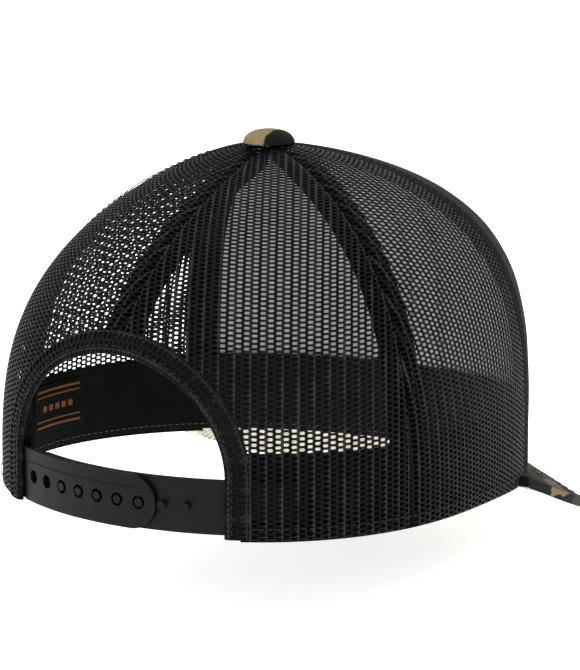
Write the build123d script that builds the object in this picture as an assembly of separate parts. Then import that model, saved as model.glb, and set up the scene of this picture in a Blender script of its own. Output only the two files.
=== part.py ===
"""Six-panel trucker cap: twill front, mesh sides and back, curved visor, plastic snap strap.

Millimetres, +Z up, visor towards -Y, the wearer's left is +X.  The crown is one formula:
crown_point(phi, h, depth), with phi measured from the middle of the back towards the
wearer's right, h running from the rim (0) to the top (1), and depth going inwards.
"""

import os
from math import atan2, cos, degrees, pi, radians, sin, sqrt

from build123d import *

# ---- where the cap stands: added to every point so the box is centred and starts at z = 0
SHIFT = Vector(0, 24.5, 39.5)

# ---- crown (radius and rim height are short cosine series of phi)
CROWN_TOP = 126.3
TOP_BACK_SHIFT = 10.2
RIM_RADIUS = (98.2, 6.1, 9.8, -2.0, -1.3)
RIM_HEIGHT = (0.0, 7.2, -2.2, 0.2)
SIDE_POWER = (1.41, -0.08, -0.28)
TOP_POWER = (3.82, -0.99, 0.62)
CROWN_HOLE = 0.04

# ---- panel seams, degrees from the middle of the back
SEAM_BACK_SIDE = 61.0
SEAM_SIDE_FRONT = 123.0
SEAM_FRONT = 180.0
SEAM_GAP = 0.04

# ---- cloth layers, depths below the outside of the crown
TWILL_THICKNESS = 0.8
LINING_DEPTHS = (0.85, 1.75)
MESH_THICKNESS = 1.2
TAPE_DEPTHS = (1.9, 2.5)
TAPE_HALF_WIDTH = 8.0
TAPE_MAX_ANGLE = 24.0
SWEATBAND_THICKNESS = 1.0
SWEATBAND_DEPTH = 2.6
SWEATBAND_END_DEPTH = 5.7
SWEATBAND_HEIGHT = 30.0
SWEATBAND_END = 25.5
LABEL_ANGLES = (61.0, 80.5)
LABEL_HEIGHTS = (7.5, 27.0)
LABEL_THICKNESS = 0.5

# ---- rear opening
ARCH_HALF_WIDTH = 44.4
ARCH_SPRING_Z = 24.5
ARCH_RISE = 39.5
ARCH_TAPE_WIDTH = 9.0
ARCH_TAPE_DEPTHS = (1.25, 1.7)

# ---- top button
BUTTON_RADIUS = 9.4
BUTTON_HEIGHT = 5.0
BUTTON_BASE = 125.65
BUTTON_CLOTH = 0.8
CORE_RADIUS = 8.0
CORE_BASE = 126.3
SHANK_RADIUS = 1.8
WASHER_RADIUS = 7.0
WASHER_Z = 121.9

# ---- visor
VISOR_START = 117.0
VISOR_HORN = 3.0
VISOR_REACH = 120.0
VISOR_POWER = 2.06
VISOR_FRONT_Z = -35.5
VISOR_DROP_POWER = 1.36
VISOR_SPREAD = 0.84
VISOR_ROOT_RISE = 3.6
VISOR_ROOT_GAP = 0.1
VISOR_TOP_DEPTHS = (0.0, 0.8)
VISOR_BOARD_DEPTHS = (0.85, 3.15)
VISOR_UNDER_DEPTHS = (3.2, 4.0)
VISOR_BOARD_INSET = 1.0

# ---- snap straps, arcs about one upright axis
STRAP_CENTRE_Y = 9.0
STRAP_BOTTOM = 5.6
STRAP_WIDTH = 19.0
STRAP_THICKNESS = 1.6
STRAP_GAP = 0.3
HOLE_STRAP_RADIUS = 99.9
HINGE_X = 42.4
TAB_ANGLES = (28.0, 38.0)
TAB_DEPTH = 2.1
TAB_THICKNESS = 1.2
HOLE_RADIUS = 2.4
HOLE_COUNT = 7
HOLE_PITCH = 4.95
FIRST_HOLE = 21.7
HOLE_STRAP_TIP = -11.7
PEG_STRAP_TIP = 24.0
PEG_RADIUS = 1.45
PEG_HEIGHT = 2.2
PEGS_IN_HOLES = 5
RIDGE_WIDTH = 0.5
RIDGE_HEIGHT = 0.25
RIDGE_OFFSET = 4.6


# ======================================================================== crown surface
def series(terms, phi):
    """Sum of terms[k] * cos(k * phi)."""
    return sum(term * cos(k * radians(phi)) for k, term in enumerate(terms))


def narrowing(phi, h):
    """Share of the rim radius left at height share h."""
    return (1 - h ** series(TOP_POWER, phi)) ** (1 / series(SIDE_POWER, phi))


def outer_point(phi, h):
    """Point on the outside of the crown."""
    share = narrowing(phi, h)
    radius = series(RIM_RADIUS, phi) * share
    rim_z = series(RIM_HEIGHT, phi)
    x = -radius * sin(radians(phi))
    y = radius * cos(radians(phi)) + TOP_BACK_SHIFT * (1 - share)
    return Vector(x, y, rim_z + (CROWN_TOP - rim_z) * h) + SHIFT


def crown_point(phi, h, depth):
    """Point a given depth inside the crown, square to its surface."""
    step_h = 0.002 if h < 0.5 else -0.002
    base = outer_point(phi, h)
    round_rim = outer_point(phi + 0.2, h) - outer_point(phi - 0.2, h)
    up_side = (outer_point(phi, h + step_h) - base) * (1 if step_h > 0 else -1)
    inward = round_rim.cross(up_side).normalized()
    if inward.dot(base - SHIFT - Vector(0, TOP_BACK_SHIFT, 0)) > 0:
        inward = inward * -1
    return base + inward * depth


def top_share(phi):
    """Height share at which the panels stop, leaving the hole for the button shank."""
    return (1 - CROWN_HOLE ** series(SIDE_POWER, phi)) ** (1 / series(TOP_POWER, phi))


def height_share(phi, z):
    """Height share of a level z above the lowest rim height used by that phi."""
    rim_z = series(RIM_HEIGHT, phi)
    return (z - rim_z) / (CROWN_TOP - rim_z)


def between(pair, share):
    """Straight-line value between the two numbers of a pair."""
    return pair[0] + (pair[1] - pair[0]) * share


# ======================================================================== solid builders
def grid_face(point, count_u, count_v):
    """Smooth face through point(u, v), u and v from 0 to 1."""
    rows = []
    for i in range(count_u):
        rows.append([point(i / (count_u - 1), j / (count_v - 1)) for j in range(count_v)])
    return Face.make_surface_from_array_of_points(rows)


def slab(point, count_u=9, count_v=17):
    """Closed solid between the faces point(u, v, 0) and point(u, v, 1)."""
    outer = grid_face(lambda u, v: point(u, v, 0), count_u, count_v)
    inner = grid_face(lambda u, v: point(u, v, 1), count_u, count_v)
    pairs = zip(outer.edges(), inner.edges())
    sides = [Face.make_surface_from_curves(a, b) for a, b in pairs]
    return Solid(Shell([outer, inner, *sides]))


def gore(phi_range, depths):
    """Cloth panel between two seams, from the rim to the hole at the top."""

    def point(u, v, w):
        phi = between((phi_range[0] + SEAM_GAP, phi_range[1] - SEAM_GAP), u)
        return crown_point(phi, top_share(phi) * sin(v * pi / 2), between(depths, w))

    return slab(point, 9, 21)


def left(solid):
    """The same piece on the wearer's left."""
    return mirror(solid, about=Plane.YZ)


# ======================================================================== crown pieces
def arch_outline(grow=0.0):
    """Solid block as wide as the rear opening plus grow on every side but the bottom."""
    wide = 2 * (ARCH_HALF_WIDTH + grow)
    with BuildPart() as block:
        with BuildSketch(Plane.XZ.offset(-200)):
            with Locations((0, ARCH_SPRING_Z + SHIFT.Z)):
                Ellipse(ARCH_HALF_WIDTH + grow, ARCH_RISE + grow)
            with Locations((0, SHIFT.Z)):
                Rectangle(wide, 2 * ARCH_SPRING_Z)
        extrude(amount=200)
    return block.part


def front_panel():
    """Camouflage twill half of the front."""
    return gore((SEAM_SIDE_FRONT, SEAM_FRONT), (0, TWILL_THICKNESS))


def front_lining():
    """Stiff mesh lining bonded behind one half of the front."""
    return gore((SEAM_SIDE_FRONT, SEAM_FRONT), LINING_DEPTHS)


def side_mesh():
    """Mesh side panel."""
    return gore((SEAM_BACK_SIDE, SEAM_SIDE_FRONT), (0, MESH_THICKNESS))


def back_mesh():
    """Mesh back panel with its half of the rear opening cut out."""
    return gore((0, SEAM_BACK_SIDE), (0, MESH_THICKNESS)) - arch_outline()


def seam_tape(phi_seam, low, high):
    """Folded tape sewn over a seam inside the crown, narrowing towards the top."""

    def point(u, v, w):
        h = between((low, high), v)
        reach = series(RIM_RADIUS, phi_seam) * narrowing(phi_seam, h)
        half = min(degrees(TAPE_HALF_WIDTH / reach), TAPE_MAX_ANGLE)
        return crown_point(phi_seam + half * (2 * u - 1), h, between(TAPE_DEPTHS, w))

    return slab(point, 5, 25)


def arch_tape():
    """Binding tape that stiffens the edge of the rear opening from inside."""

    def point(u, v, w):
        phi = between((-45, 45), u)
        return crown_point(phi, between((0.0, 0.62), v), between(ARCH_TAPE_DEPTHS, w))

    return slab(point, 15, 17) & (arch_outline(ARCH_TAPE_WIDTH) - arch_outline())


def sweatband_depth(phi):
    """Outer depth of the sweatband, deeper over the strap ends beside the opening."""
    share = max(0.0, min(1.0, (52 - abs(phi)) / 22))
    rise = share * share * (3 - 2 * share)
    return SWEATBAND_DEPTH + (SWEATBAND_END_DEPTH - SWEATBAND_DEPTH) * rise


def sweatband():
    """Twill sweatband, open over the rear opening."""

    def point(u, v, w):
        phi = between((SWEATBAND_END, 360 - SWEATBAND_END), u)
        off_back = phi if phi < 180 else 360 - phi
        h = between((0.0, SWEATBAND_HEIGHT / CROWN_TOP), v)
        return crown_point(phi, h, sweatband_depth(off_back) + SWEATBAND_THICKNESS * w)

    return slab(point, 61, 5)


def woven_label():
    """Blank woven label sewn to the sweatband on the wearer's left."""
    depth = SWEATBAND_DEPTH + SWEATBAND_THICKNESS + 0.05

    def point(u, v, w):
        h = between(LABEL_HEIGHTS, v) / CROWN_TOP
        return crown_point(-between(LABEL_ANGLES, u), h, depth + LABEL_THICKNESS * w)

    return slab(point, 9, 5)


# ======================================================================== button
def turned(points):
    """Solid of revolution about the upright line through the crown's top."""
    with BuildPart() as body:
        with BuildSketch(Plane.XZ):
            with BuildLine():
                Polyline(*points, close=True)
            make_face()
        revolve(axis=Axis.Z)
    return body.part.moved(Location(SHIFT + Vector(0, TOP_BACK_SHIFT, 0)))


def dome(radius, base, height):
    """Profile points of a flattened dome, from its rim to the axis."""
    steps = 10
    return [
        (radius * cos(k * pi / 2 / steps) ** 0.8, base + height * sin(k * pi / 2 / steps))
        for k in range(steps)
    ] + [(0, base + height)]


def button_cover():
    """Cloth pulled over the button."""
    inside = dome(BUTTON_RADIUS - BUTTON_CLOTH, BUTTON_BASE, BUTTON_HEIGHT - BUTTON_CLOTH)
    return turned(dome(BUTTON_RADIUS, BUTTON_BASE, BUTTON_HEIGHT) + inside[::-1])


def button_core():
    """Pressed metal button with its shank through the top of the crown."""
    height = BUTTON_BASE + BUTTON_HEIGHT - BUTTON_CLOTH - 0.05 - CORE_BASE
    shank = [(0, WASHER_Z), (SHANK_RADIUS, WASHER_Z), (SHANK_RADIUS, CORE_BASE)]
    return turned(dome(CORE_RADIUS, CORE_BASE, height) + shank)


def button_washer():
    """Washer clamped on the shank inside the crown."""
    inner = SHANK_RADIUS + 0.05
    low = WASHER_Z + 0.1
    return turned([(inner, low), (WASHER_RADIUS, low), (WASHER_RADIUS, low + 0.8), (inner, low + 0.8)])


# ======================================================================== visor
def visor_point(u, t, depth):
    """Point of the visor: u from the right end to the left, t from the crown to the edge."""
    side = -1 if u < 0.5 else 1
    share = 1 - abs(2 * u - 1)
    phi = VISOR_START + (180 - VISOR_START) * share
    rise = Vector(0, 0, VISOR_ROOT_RISE)
    root = outer_point(phi, 0) + rise
    corner = outer_point(VISOR_START, 0) + rise
    swing = share**VISOR_SPREAD * pi / 2
    x = (corner.X - VISOR_HORN) * max(cos(swing), 0) ** (2 / VISOR_POWER)
    reach = sin(swing) ** (2 / VISOR_POWER)
    drop = (corner.Z - SHIFT.Z - VISOR_FRONT_Z) * (1 - (1 - reach) ** VISOR_DROP_POWER)
    edge = Vector(x, corner.Y - VISOR_REACH * reach, corner.Z - drop)
    gap = VISOR_ROOT_GAP / (edge - root).length
    spot = root + (edge - root) * (gap + (1 - gap) * t)
    return Vector(-side * spot.X, spot.Y, spot.Z - depth)


def visor_sheet(depths, inset=0.0):
    """One layer of the visor; inset draws its edges in from the cloth."""

    def point(u, v, w):
        margin = inset / 200
        t = v * (1 - inset / 60)
        return visor_point(between((margin, 1 - margin), u), t, between(depths, w))

    return slab(point, 41, 7)


# ======================================================================== snap straps
def ring_arc(radius, thickness, start, end, low, height):
    """Upright strip bent round the strap axis between two angles from +Y towards +X."""
    inner = radius - thickness
    with BuildPart() as strip:
        with BuildSketch(Plane.XY.offset(low)):
            with BuildLine():
                first = CenterArc((0, 0), radius, 90 - end, end - start)
                second = CenterArc((0, 0), inner, 90 - end, end - start)
                Line(first @ 0, second @ 0)
                Line(first @ 1, second @ 1)
            make_face()
        extrude(amount=height)
    return strip.part


def radial_pin(angle, radius, height, outward):
    """Round pin pointing out from the strap axis."""
    pin = Cylinder(radius, height, align=(Align.CENTER, Align.CENTER, Align.MIN))
    turn = Location((0, 0, 0), (0, 0, -angle)) * Location((0, outward, 0), (-90, 0, 0))
    return pin.moved(Location((0, 0, strap_middle())) * turn)


def strap_middle():
    """Height of the middle line of the straps."""
    return STRAP_BOTTOM + STRAP_WIDTH / 2


def hinge_angle(radius):
    """Angle from +Y at which a strap of this middle radius crosses the hinge line."""
    return degrees(atan2(HINGE_X, sqrt(radius**2 - HINGE_X**2)))


def tip_block(angle, outward):
    """Block that keeps a strap's rounded tip; its far end is a half circle."""
    half = STRAP_WIDTH / 2
    with BuildPart() as block:
        with BuildSketch(Plane.XY):
            Circle(half)
            with Locations((-outward * 60, 0)):
                Rectangle(120, STRAP_WIDTH)
        extrude(amount=60, both=True)
    upright = Location((0, 0, strap_middle()), (0, 0, -angle)) * Location((0, 95, 0), (-90, 0, 0))
    return block.part.moved(upright)


def place_strap(solid):
    """Move a strap drawn about its own axis to the back of the cap."""
    return solid.moved(Location(SHIFT + Vector(0, STRAP_CENTRE_Y, 0)))


def knuckle(angle, middle):
    """Rounded end of a strap on its hinge line."""
    spot = Location((0, 0, STRAP_BOTTOM), (0, 0, -angle)) * Location((0, middle, 0))
    base = (Align.CENTER, Align.CENTER, Align.MIN)
    return Cylinder(STRAP_THICKNESS / 2, STRAP_WIDTH, align=base).moved(spot)


def hole_angles():
    """Angles of the holes, first one nearest the wearer's left."""
    return [FIRST_HOLE - HOLE_PITCH * k for k in range(HOLE_COUNT)]


def hole_strap():
    """Outer strap with seven holes, moulded border line and a rounded tip."""
    radius = HOLE_STRAP_RADIUS
    middle = radius - STRAP_THICKNESS / 2
    hinge = hinge_angle(middle)
    tip_centre = HOLE_STRAP_TIP + degrees(STRAP_WIDTH / 2 / middle)
    body = ring_arc(radius, STRAP_THICKNESS, HOLE_STRAP_TIP, hinge, STRAP_BOTTOM, STRAP_WIDTH)
    body = (body & tip_block(tip_centre, -1)) + knuckle(hinge, middle)
    line_low = strap_middle() + RIDGE_OFFSET
    line_start = hole_angles()[-1]
    body = body + ring_arc(radius + RIDGE_HEIGHT, RIDGE_HEIGHT + 0.2, line_start,
                           FIRST_HOLE + 2, line_low, RIDGE_WIDTH)
    for angle in hole_angles():
        body = body - radial_pin(angle, HOLE_RADIUS, 10, radius - 5)
    return place_strap(body)


def peg_strap():
    """Inner strap with seven pegs; five sit in holes and two stay free."""
    radius = HOLE_STRAP_RADIUS - STRAP_THICKNESS - STRAP_GAP
    middle = radius - STRAP_THICKNESS / 2
    hinge = -hinge_angle(middle)
    tip_centre = PEG_STRAP_TIP - degrees(STRAP_WIDTH / 2 / middle)
    body = ring_arc(radius, STRAP_THICKNESS, hinge, PEG_STRAP_TIP, STRAP_BOTTOM, STRAP_WIDTH)
    body = (body & tip_block(tip_centre, 1)) + knuckle(hinge, middle)
    first_peg = hole_angles()[HOLE_COUNT - PEGS_IN_HOLES]
    for k in range(HOLE_COUNT):
        angle = first_peg - HOLE_PITCH * k
        body = body + radial_pin(angle, PEG_RADIUS, PEG_HEIGHT + 0.5, radius - 0.5)
    return place_strap(body)


def strap_tab(side, radius):
    """Sewn end of a strap, under the mesh beside the opening; side +1 is the wearer's left."""
    middle = radius - STRAP_THICKNESS / 2
    angle = radians(hinge_angle(middle))
    hinge = SHIFT + Vector(side * middle * sin(angle), STRAP_CENTRE_Y + middle * cos(angle), 0)
    along = Vector(side * cos(angle), -sin(angle), 0)
    start = hinge + along * (STRAP_THICKNESS / 2 + 0.3)
    across = Vector(side * sin(angle), cos(angle), 0)

    def point(u, v, w):
        z = STRAP_BOTTOM + 0.2 + (STRAP_WIDTH - 0.4) * v
        near = start + across * ((0.5 - w) * STRAP_THICKNESS)
        near = Vector(near.X, near.Y, z + SHIFT.Z)
        phi = -side * TAB_ANGLES[1]
        depth = TAB_DEPTH + TAB_THICKNESS * w
        far = crown_point(phi, height_share(phi, z), depth)
        middle_phi = -side * TAB_ANGLES[0]
        middle_spot = crown_point(middle_phi, height_share(middle_phi, z), depth)
        bend = (near + far) * 0.2 + middle_spot * 0.6
        return near * ((1 - u) ** 2) + bend * (2 * u * (1 - u)) + far * (u * u)

    return slab(point, 7, 5)


# ======================================================================== assembly
def all_pieces():
    """Every physical piece by name."""
    peg_radius = HOLE_STRAP_RADIUS - STRAP_THICKNESS - STRAP_GAP
    pieces = {
        "front_panel_right": front_panel(),
        "front_lining_right": front_lining(),
        "side_mesh_right": side_mesh(),
        "back_mesh_right": back_mesh(),
        "seam_tape_side_front_right": seam_tape(SEAM_SIDE_FRONT, 0.02, 0.97),
        "seam_tape_back_side_right": seam_tape(SEAM_BACK_SIDE, 0.02, 0.97),
    }
    for name in list(pieces):
        pieces[name.replace("right", "left")] = left(pieces[name])
    pieces["seam_tape_front_center"] = seam_tape(SEAM_FRONT, 0.02, 0.97)
    pieces["seam_tape_back_center"] = seam_tape(0, 0.56, 0.97)
    pieces["arch_tape"] = arch_tape()
    pieces["sweatband"] = sweatband()
    pieces["woven_label"] = woven_label()
    pieces["button_cover"] = button_cover()
    pieces["button_core"] = button_core()
    pieces["button_washer"] = button_washer()
    pieces["visor_top_cover"] = visor_sheet(VISOR_TOP_DEPTHS)
    pieces["visor_board"] = visor_sheet(VISOR_BOARD_DEPTHS, VISOR_BOARD_INSET)
    pieces["visor_under_cover"] = visor_sheet(VISOR_UNDER_DEPTHS)
    pieces["hole_strap"] = hole_strap()
    pieces["hole_strap_tab"] = strap_tab(1, HOLE_STRAP_RADIUS)
    pieces["peg_strap"] = peg_strap()
    pieces["peg_strap_tab"] = strap_tab(-1, peg_radius)
    return pieces


def single_solid(shape):
    """The one solid of a shape, kept as a plain Solid for export."""
    solids = shape.solids()
    if len(solids) != 1:
        raise ValueError(f"expected one solid, found {len(solids)}")
    return solids[0]


os.makedirs("parts", exist_ok=True)
for node, shape in all_pieces().items():
    piece = single_solid(shape)
    piece.label = node
    export_step(piece, f"parts/{node}.step")
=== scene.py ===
"""Looks of the trucker cap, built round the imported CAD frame.

Metres, +Z up, visor towards -Y, the wearer's left is +X.  The crown formula repeats the CAD's:
phi runs from the middle of the back towards the wearer's right, h from the rim (0) to the top
(1).  Mesh panels are real lattices laid on that surface; stitches are small spindles.
"""

import math

import bpy
import numpy as np
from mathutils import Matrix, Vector


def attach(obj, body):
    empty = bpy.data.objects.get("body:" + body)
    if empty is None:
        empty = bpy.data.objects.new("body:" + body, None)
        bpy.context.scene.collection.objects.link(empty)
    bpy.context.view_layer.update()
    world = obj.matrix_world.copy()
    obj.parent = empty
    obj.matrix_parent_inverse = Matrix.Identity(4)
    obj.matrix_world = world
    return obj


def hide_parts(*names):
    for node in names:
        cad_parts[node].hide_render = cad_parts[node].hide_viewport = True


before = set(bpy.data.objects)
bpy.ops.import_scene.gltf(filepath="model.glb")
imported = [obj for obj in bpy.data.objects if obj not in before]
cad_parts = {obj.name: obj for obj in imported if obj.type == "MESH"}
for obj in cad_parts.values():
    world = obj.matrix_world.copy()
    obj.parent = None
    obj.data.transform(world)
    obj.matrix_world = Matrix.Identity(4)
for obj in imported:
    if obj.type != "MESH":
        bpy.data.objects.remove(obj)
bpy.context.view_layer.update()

MM = 0.001
SHIFT = np.array([0.0, 24.5, 39.5])

# ---- crown formula, millimetres and degrees
CROWN_TOP = 126.3
TOP_BACK_SHIFT = 10.2
RIM_RADIUS = (98.2, 6.1, 9.8, -2.0, -1.3)
RIM_HEIGHT = (0.0, 7.2, -2.2, 0.2)
SIDE_POWER = (1.41, -0.08, -0.28)
TOP_POWER = (3.82, -0.99, 0.62)
SEAM_BACK_SIDE = 61.0
SEAM_SIDE_FRONT = 123.0
SEAM_FRONT = 180.0
CROWN_HOLE = 0.035

# ---- rear opening
ARCH_HALF_WIDTH = 44.4
ARCH_SPRING_Z = 24.5
ARCH_RISE = 39.5
ARCH_CURVE_LENGTH = 132.0
ARCH_LENGTH = 2 * ARCH_SPRING_Z + ARCH_CURVE_LENGTH
HEM_WIDTH = 7.6
HEM_FOLD_RADIUS = 0.9
HEM_FOLD_STRETCH = 1.2
MESH_CLEARANCE = 6.0

# ---- seam tapes and stitch lines, distances along the cloth
TAPE_HALF_WIDTH = 8.0
TAPE_MAX_ANGLE = 28.0
TAPE_BOTTOM = 0.02
TAPE_TOP = 0.99
TAPE_CROWDING = 1.8
TAPE_DEPTH = 1.95
TAPE_THICKNESS = 0.5
TAPE_STITCH_OFFSET = 6.4
TOPSTITCH_OFFSET = 2.3
FRONT_TOPSTITCH_OFFSET = 3.2
TOPSTITCH_DEPTH = -0.05

# ---- knitted mesh
COLUMN_PITCH = 2.72
ROW_PITCH = 1.86
HOLE_HALF_WIDTH = 0.88
HOLE_HALF_HEIGHT = 0.73
THREAD_RISE = 0.36
MESH_DEPTH = 0.6
UNDERFOLD_LENGTH = 2.4
UV_PER_MM = 0.01

# ---- rim fold, angles from the back, heights above the rim
RIM_FOLD_START = 26.6
RIM_STITCH_START = 27.5
RIM_STITCH_HEIGHT = 3.9

# ---- front panels
PANEL_THICKNESS = 0.8
LINING_DEPTH = 0.9
LINING_SETBACK = 1.6

# ---- sweatband and woven label
BAND_START = 25.5
BAND_ANGLE = 309.0
BAND_HEIGHT = 30.0
BAND_THICKNESS = 1.0
LABEL_START = 61.0
LABEL_ANGLE = 19.5
LABEL_LOW = 7.5
LABEL_HEIGHT = 19.5
LABEL_DEPTH = 3.62
LABEL_LINES = ((10.0, 0.5), (12.3, 0.35), (22.2, 0.35), (24.5, 0.5))
LABEL_BLOCKS = 5
LABEL_BLOCK_HEIGHT = 17.2

# ---- button
BUTTON_RADIUS = 9.4
BUTTON_RISE = 5.0
BUTTON_SEAT = 125.65
BUTTON_PLEATS = 18

# ---- visor
VISOR_START = 117.0
VISOR_ROOT_RISE = 3.6
VISOR_LENGTH = 120.0
VISOR_DROP = 35.5
VISOR_SIDE_INSET = 3.0
VISOR_ROUNDNESS = 2.06
VISOR_SPREAD = 0.84
VISOR_CURVE = 1.36
VISOR_GAP = 0.1
VISOR_THICKNESS = 4.05
VISOR_STITCH_ROWS = 8
VISOR_FIRST_ROW = 0.95
VISOR_ROW_PITCH = 0.115

rng = np.random.default_rng(7)


# ======== crown surface
def series(terms, phi):
    """Sum of terms[k] * cos(k * phi), phi in degrees."""
    total = np.zeros_like(np.asarray(phi, float))
    for k, term in enumerate(terms):
        total = total + term * np.cos(k * np.radians(phi))
    return total


def narrowing(phi, h):
    """Share of the rim radius left at height share h."""
    h = np.clip(h, 0.0, 1.0)
    return (1 - h ** series(TOP_POWER, phi)) ** (1 / series(SIDE_POWER, phi))


def outer(phi, h):
    """Points on the outside of the crown, millimetres."""
    phi = np.asarray(phi, float)
    h = np.asarray(h, float)
    share = narrowing(phi, h)
    radius = series(RIM_RADIUS, phi) * share
    rim_z = series(RIM_HEIGHT, phi)
    x = -radius * np.sin(np.radians(phi))
    y = radius * np.cos(np.radians(phi)) + TOP_BACK_SHIFT * (1 - share)
    z = rim_z + (CROWN_TOP - rim_z) * h
    return np.stack([x, y, z], -1) + SHIFT


def inward(phi, h):
    """Unit normals of the crown, pointing inwards."""
    phi = np.asarray(phi, float)
    h = np.asarray(h, float)
    step = 0.001
    low = np.clip(h - step, 0, 0.999)
    high = np.clip(h + step, 0.0011, 1)
    round_rim = outer(phi + 0.3, h) - outer(phi - 0.3, h)
    upwards = outer(phi, high) - outer(phi, low)
    normal = np.cross(round_rim, upwards)
    normal /= np.linalg.norm(normal, axis=-1, keepdims=True)
    centre = outer(phi, h) - SHIFT - np.array([0, TOP_BACK_SHIFT, 30.0])
    flip = np.where((normal * centre).sum(-1) > 0, -1.0, 1.0)
    return normal * flip[..., None]


def crown(phi, h, depth):
    """Points a depth inside the crown, millimetres."""
    depth = np.asarray(depth, float)
    return outer(phi, h) + inward(phi, h) * depth[..., None]


def top_share(phi):
    """Height share where the cloth ends round the button shank."""
    return (1 - CROWN_HOLE ** series(SIDE_POWER, phi)) ** (1 / series(TOP_POWER, phi))


def height_share(phi, z):
    """Height share of a level above the floor datum of the crown."""
    rim_z = series(RIM_HEIGHT, phi)
    return (z - rim_z) / (CROWN_TOP - rim_z)


def smooth(edge0, edge1, value):
    """Smooth step from 0 to 1."""
    share = np.clip((np.asarray(value, float) - edge0) / (edge1 - edge0), 0, 1)
    return share * share * (3 - 2 * share)


# ======== flattening a panel
class Gore:
    """A crown panel laid flat: v along its middle line from the rim, u across from it."""

    LINE_STEPS = 400
    ROWS = 220
    HALF_COLUMNS = 30

    def __init__(self, phi_from, phi_to):
        middle = (phi_from + phi_to) / 2
        top = float(top_share(middle))
        steps = np.sin(np.linspace(0, np.pi / 2, self.LINE_STEPS)) * top
        line = outer(np.full(self.LINE_STEPS, middle), steps)
        gaps = np.linalg.norm(np.diff(line, axis=0), axis=1)
        self.shares = steps
        self.lengths = np.concatenate([[0], np.cumsum(gaps)])
        self.tall = self.lengths[-1]
        self.grid_v = np.linspace(0, self.tall, self.ROWS)
        grid_h = np.interp(self.grid_v, self.lengths, self.shares)
        self.phis = np.linspace(phi_from, phi_to, 2 * self.HALF_COLUMNS + 1)
        rows = outer(self.phis[None, :], grid_h[:, None])
        gaps = np.linalg.norm(np.diff(rows, axis=1), axis=2)
        across = np.concatenate([np.zeros((self.ROWS, 1)), np.cumsum(gaps, axis=1)], axis=1)
        self.across = across - across[:, self.HALF_COLUMNS:self.HALF_COLUMNS + 1]

    def limits(self, v):
        """Lowest and highest u of the panel at v."""
        return (np.interp(v, self.grid_v, self.across[:, 0]),
                np.interp(v, self.grid_v, self.across[:, -1]))

    def place(self, u, v):
        """phi and h of flat points."""
        v = np.clip(v, 0, self.tall)
        last = self.ROWS - 1
        spot = v / self.tall * last
        row = np.clip(spot.astype(int), 0, last - 1)
        part = spot - row
        phi = np.empty_like(u)
        for k in range(last):
            mask = row == k
            if mask.any():
                below = np.interp(u[mask], self.across[k], self.phis)
                above = np.interp(u[mask], self.across[k + 1], self.phis)
                phi[mask] = below + (above - below) * part[mask]
        return phi, np.interp(v, self.lengths, self.shares)


# ======== mesh objects
def make_object(name, points_mm, faces, material, uv=None, body="crown"):
    """Smooth Blender mesh from millimetre points and faces, riding on a body."""
    mesh = bpy.data.meshes.new(name)
    points = np.asarray(points_mm, float) * MM
    mesh.from_pydata(points.tolist(), [], faces if isinstance(faces, list) else faces.tolist())
    mesh.validate()
    if uv is not None:
        layer = mesh.uv_layers.new(name="cloth")
        loops = np.empty(len(mesh.loops), int)
        mesh.loops.foreach_get("vertex_index", loops)
        layer.data.foreach_set("uv", np.asarray(uv, float)[loops].ravel())
    mesh.polygons.foreach_set("use_smooth", [True] * len(mesh.polygons))
    mesh.materials.append(material)
    mesh.update()
    obj = bpy.data.objects.new(name, mesh)
    bpy.context.scene.collection.objects.link(obj)
    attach(obj, body)
    return obj


def grid_faces(rows, columns, wrap=False):
    """Quads of a rows by columns grid of points."""
    index = np.arange(rows * columns).reshape(rows, columns)
    if wrap:
        index = np.concatenate([index, index[:, :1]], axis=1)
    a, b = index[:-1, :-1].ravel(), index[:-1, 1:].ravel()
    c, d = index[1:, 1:].ravel(), index[1:, :-1].ravel()
    return np.stack([a, b, c, d], 1)


def slab(name, point, count_u, count_v, material, flip=False):
    """Closed sheet: point(u, v, w) with w 0 outside and 1 inside; u and v are 0 to 1 grids."""
    u, v = np.meshgrid(np.linspace(0, 1, count_u), np.linspace(0, 1, count_v), indexing="ij")
    outside, inside = point(u, v, 0.0), point(u, v, 1.0)
    points = np.concatenate([outside.reshape(-1, 3), inside.reshape(-1, 3)])
    top = grid_faces(count_u, count_v)
    total = count_u * count_v
    bottom = top[:, ::-1] + total
    ring = np.concatenate([
        np.arange(count_v),
        np.arange(1, count_u) * count_v + count_v - 1,
        (count_u - 1) * count_v + np.arange(count_v - 2, -1, -1),
        np.arange(count_u - 2, 0, -1) * count_v,
    ])
    following = np.roll(ring, -1)
    side = np.stack([following, ring, ring + total, following + total], 1)
    faces = np.concatenate([top, bottom, side])
    if flip:
        faces = faces[:, ::-1]
    uv = np.concatenate([np.stack([u.ravel(), v.ravel()], 1)] * 2)
    return make_object(name, points, faces, material, uv)


# ======== materials
def grey(level):
    """Neutral colour of one level."""
    return (level, level, level)


def new_material(name, color, roughness, shine, metallic=0.0):
    """Principled material with constant sockets; returns material, nodes, links, shader."""
    material = bpy.data.materials.new(name)
    material.use_nodes = True
    nodes, links = material.node_tree.nodes, material.node_tree.links
    shader = nodes["Principled BSDF"]
    shader.inputs["Base Color"].default_value = (*color, 1)
    shader.inputs["Roughness"].default_value = roughness
    shader.inputs["Specular IOR Level"].default_value = shine
    shader.inputs["Metallic"].default_value = metallic
    return material, nodes, links, shader


def coordinates(nodes, links, source="Object", scale=(1, 1, 1)):
    """Texture coordinates of one kind, scaled along each axis."""
    coord = nodes.new("ShaderNodeTexCoord")
    mapping = nodes.new("ShaderNodeMapping")
    mapping.inputs["Scale"].default_value = scale
    links.new(coord.outputs[source], mapping.inputs["Vector"])
    return mapping.outputs["Vector"]


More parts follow.
